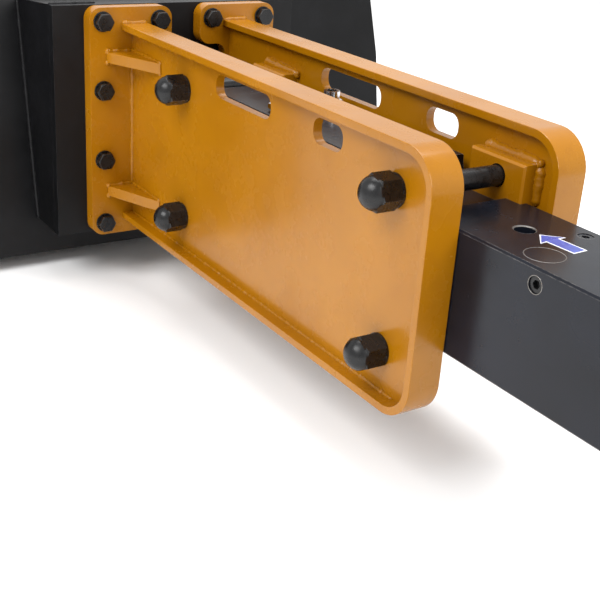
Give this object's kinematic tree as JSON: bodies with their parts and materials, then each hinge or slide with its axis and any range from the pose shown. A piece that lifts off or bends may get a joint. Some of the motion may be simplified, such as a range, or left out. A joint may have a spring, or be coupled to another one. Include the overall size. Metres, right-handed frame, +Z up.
{
  "type": "hydraulic breaker hammer",
  "caption": "Side-plate hydraulic breaker hammer with clamped rectangular body, chisel, bolted end flanges and a wide black skid-steer coupler bracket.",
  "frame": {"origin": "centre of the coupler plate's rear face", "axes": "+X along the hammer towards the chisel tip, +Z up with the hammer lying level, +Y to its left"},
  "size_m": [1.9022, 1.208, 0.5546],
  "materials": {
    "side_plate_paint": "gloss",
    "bracket_paint": "satin",
    "black_oxide": "satin",
    "hammer_paint": "gloss",
    "machined_steel": "satin",
    "chisel_steel": "satin",
    "chrome_fitting": "polished",
    "rubber_seal": "matte",
    "arrow_label": "gloss"
  },
  "bodies": {
    "hammer_frame": {"right_side_panel": "side_plate_paint", "left_side_panel": "side_plate_paint", "right_edge_band": "side_plate_paint", "left_edge_band": "side_plate_paint", "right_end_flange": "side_plate_paint", "left_end_flange": "side_plate_paint", "right_gussets": "side_plate_paint", "left_gussets": "side_plate_paint", "right_clamp_pads": "side_plate_paint", "left_clamp_pads": "side_plate_paint", "coupler_plate": "bracket_paint", "coupler_top_lip": "bracket_paint", "coupler_bottom_lip": "bracket_paint", "coupler_end_plates": "bracket_paint", "bracket_front_plate": "bracket_paint", "bracket_side_plates": "bracket_paint", "bracket_top_plate": "bracket_paint", "bracket_ribs": "bracket_paint", "flange_bolts": "black_oxide", "flange_washers": "black_oxide", "flange_nuts": "black_oxide", "through_studs": "black_oxide", "stud_washers": "black_oxide", "cap_nuts": "black_oxide", "tie_rod_nuts": "black_oxide", "valve_cover_bolts": "black_oxide", "valve_housing_bolts": "black_oxide", "retaining_lock_plug": "black_oxide", "back_head": "hammer_paint", "main_cylinder": "hammer_paint", "front_head": "hammer_paint", "valve_housing": "hammer_paint", "valve_cover": "hammer_paint", "retaining_pin": "hammer_paint", "bush_pin_plugs": "hammer_paint", "locating_dowels": "machined_steel", "tie_rods": "machined_steel", "tie_rod_washers": "machined_steel", "gas_valve": "machined_steel", "seal_retainer": "machined_steel", "valve_sleeve": "machined_steel", "upper_bush": "machined_steel", "lower_bush": "machined_steel", "bush_pins": "machined_steel", "retaining_pin_lock": "machined_steel", "port_adapters": "chrome_fitting", "grease_nipple": "chrome_fitting", "head_gaskets": "rubber_seal", "gas_seals": "rubber_seal", "front_seals": "rubber_seal", "port_seals": "rubber_seal", "dust_seal": "rubber_seal", "grease_arrow": "arrow_label"},
    "chisel": {"chisel": "chisel_steel"},
    "piston": {"piston": "machined_steel"},
    "valve_spool": {"valve_spool": "machined_steel"}
  },
  "joints": [
    {"name": "chisel_slide", "type": "slide", "parent": "hammer_frame", "child": "chisel", "axis": [1, 0, 0], "range_m": [-0.045, 0]},
    {"name": "piston_slide", "type": "slide", "parent": "hammer_frame", "child": "piston", "axis": [1, 0, 0], "range_m": [-0.075, 0]},
    {"name": "spool_slide", "type": "slide", "parent": "hammer_frame", "child": "valve_spool", "axis": [1, 0, 0], "range_m": [0, 0.012]}
  ]
}
